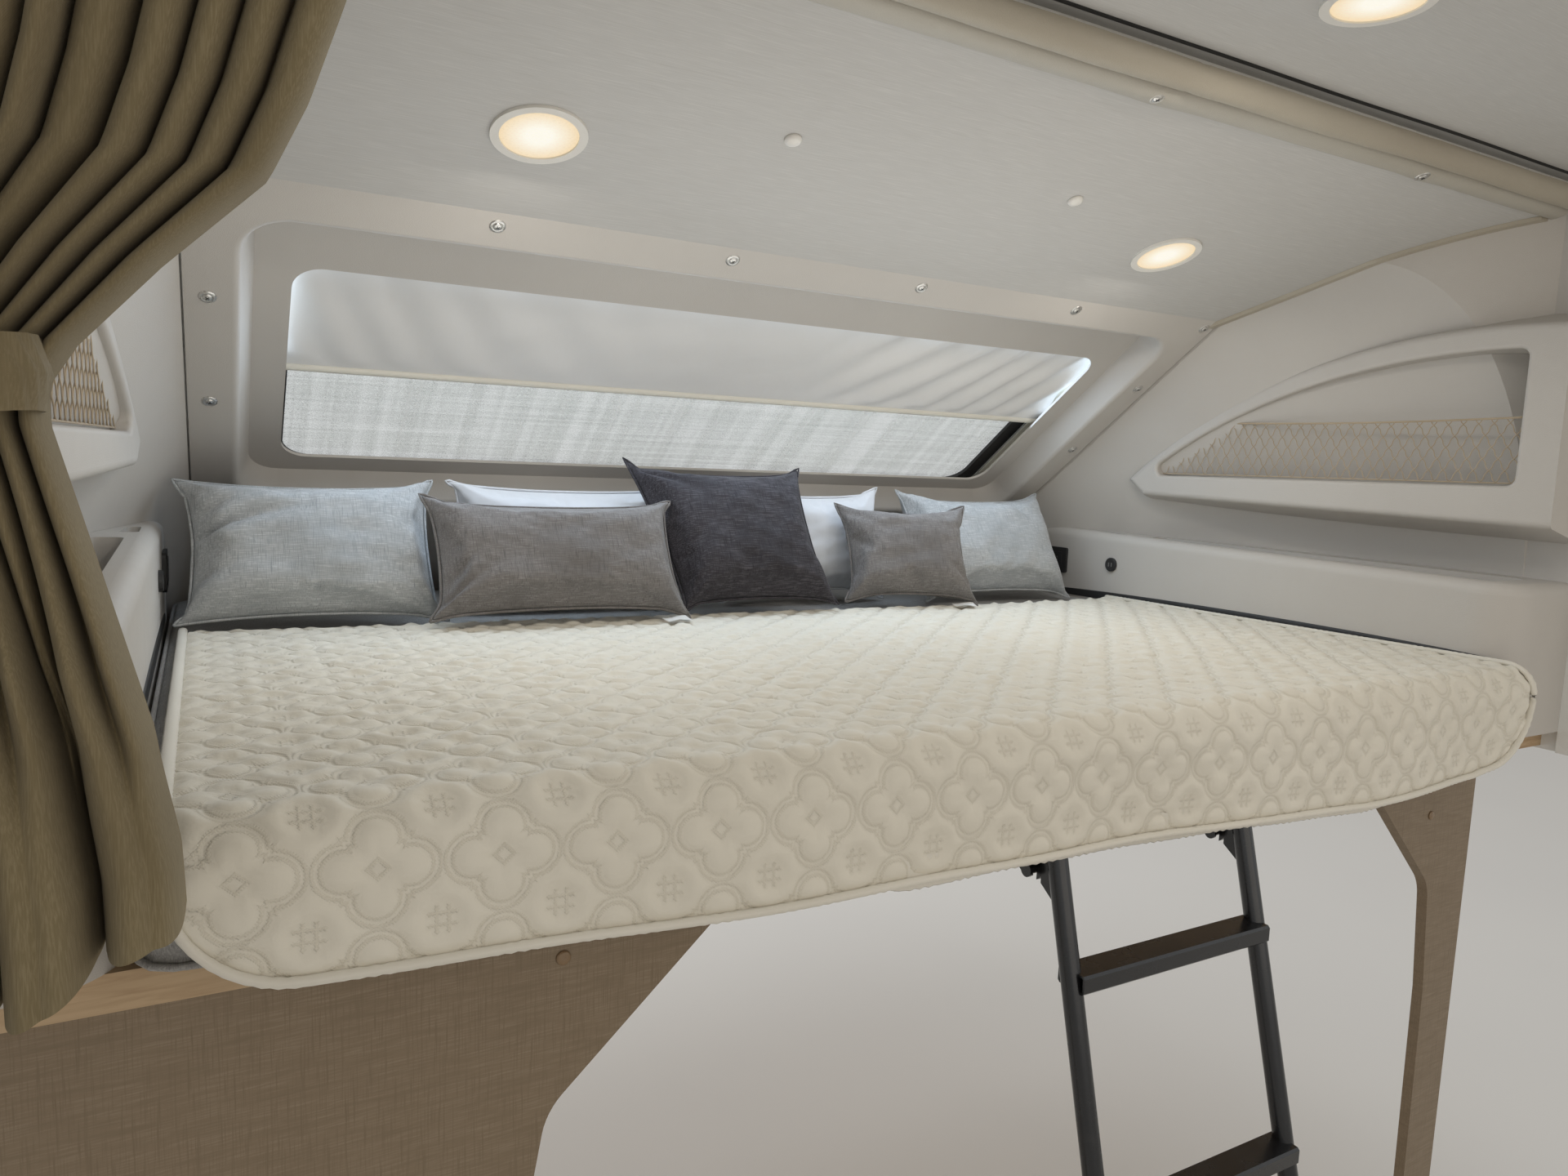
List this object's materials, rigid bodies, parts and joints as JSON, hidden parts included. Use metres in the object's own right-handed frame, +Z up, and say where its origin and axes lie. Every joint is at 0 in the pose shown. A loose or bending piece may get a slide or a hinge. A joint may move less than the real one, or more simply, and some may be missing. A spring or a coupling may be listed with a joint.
{
  "type": "over-cab bunk of a motorhome",
  "caption": "Over-cab sleeping bunk of a motorhome: raked moulded shell with window and shade, ledges, netted side pockets, quilted bed, curtain and hinged ladder.",
  "frame": {"origin": "centre of the bunk floor's underside, where it rests on the cab roof", "axes": "+X to the vehicle's right, +Y to the vehicle's front, +Z up"},
  "size_m": [2.54, 2.0116, 2.27],
  "materials": {
    "shell": "smooth gel coat",
    "board": "plain faced board",
    "lining": "fine haircell grain",
    "ceiling": "vinyl with a fine streak weave",
    "padded_trim": "soft mottled vinyl",
    "light_rim": "smooth",
    "light_lens": "frosted, warm",
    "glass": "clear with a fine screen",
    "seal": "matt",
    "shade_cloth": "lined blackout cloth",
    "shade_metal": "satin",
    "cord": "knotted cord",
    "black_plastic": "satin",
    "mattress_cloth": "woven",
    "quilt_cloth": "quilted cotton",
    "white_cotton": "plain cotton",
    "pale_linen": "linen weave",
    "grey_linen": "linen weave",
    "dark_linen": "slub weave",
    "laminate": "linen-look laminate",
    "black_steel": "gloss powder coat",
    "rubber": "matt",
    "curtain_cloth": "heavy plain weave",
    "track_metal": "satin"
  },
  "bodies": {
    "bunk": {"nose_cap": "shell", "body_frame": "shell", "bunk_floor": "board", "front_panel": "lining", "side_lining_right": "lining", "side_lining_left": "lining", "ceiling_panel": "ceiling", "rear_ceiling": "ceiling", "ceiling_strips": "lining", "ceiling_trim": "padded_trim", "downlight_rims": "light_rim", "downlight_lenses": "light_lens", "window_glass": "glass", "window_seal": "seal", "shade_roller": "shade_metal", "shade_tracks": "shade_metal", "shade_fabric": "shade_cloth", "ledge_right": "lining", "ledge_left": "lining", "outlet_right": "black_plastic", "outlet_left": "black_plastic", "socket_right": "black_plastic", "socket_left": "black_plastic", "pocket_right": "lining", "pocket_left": "lining", "net_right": "cord", "net_left": "cord", "mattress": "mattress_cloth", "quilt": "quilt_cloth", "pillow_light_left": "pale_linen", "pillow_light_right": "pale_linen", "pillow_dark": "dark_linen", "pillow_small_left": "grey_linen", "pillow_small_right": "grey_linen", "pillow_white_left": "white_cotton", "pillow_white_right": "white_cotton", "bulkhead_left": "laminate", "bulkhead_right": "laminate", "ladder_brackets": "black_steel", "curtain_track": "track_metal", "curtain": "curtain_cloth", "curtain_tieback": "curtain_cloth"},
    "shade": {"shade_bar": "shade_metal"},
    "ladder": {"ladder_rails": "black_steel", "ladder_rungs": "black_steel", "ladder_hooks": "black_steel", "ladder_feet": "rubber"}
  },
  "joints": [
    {"name": "shade_slide", "type": "slide", "parent": "bunk", "child": "shade", "axis": [0, -0.8113, 0.5846], "range_m": [-0.225, 0.265], "deforming": ["shade_fabric"]},
    {"name": "ladder_hinge", "type": "hinge", "parent": "bunk", "child": "ladder", "pos_m": [0.1335, -0.809, -0.023], "axis": [-1, 0, 0], "range_deg": [0, 20]}
  ]
}
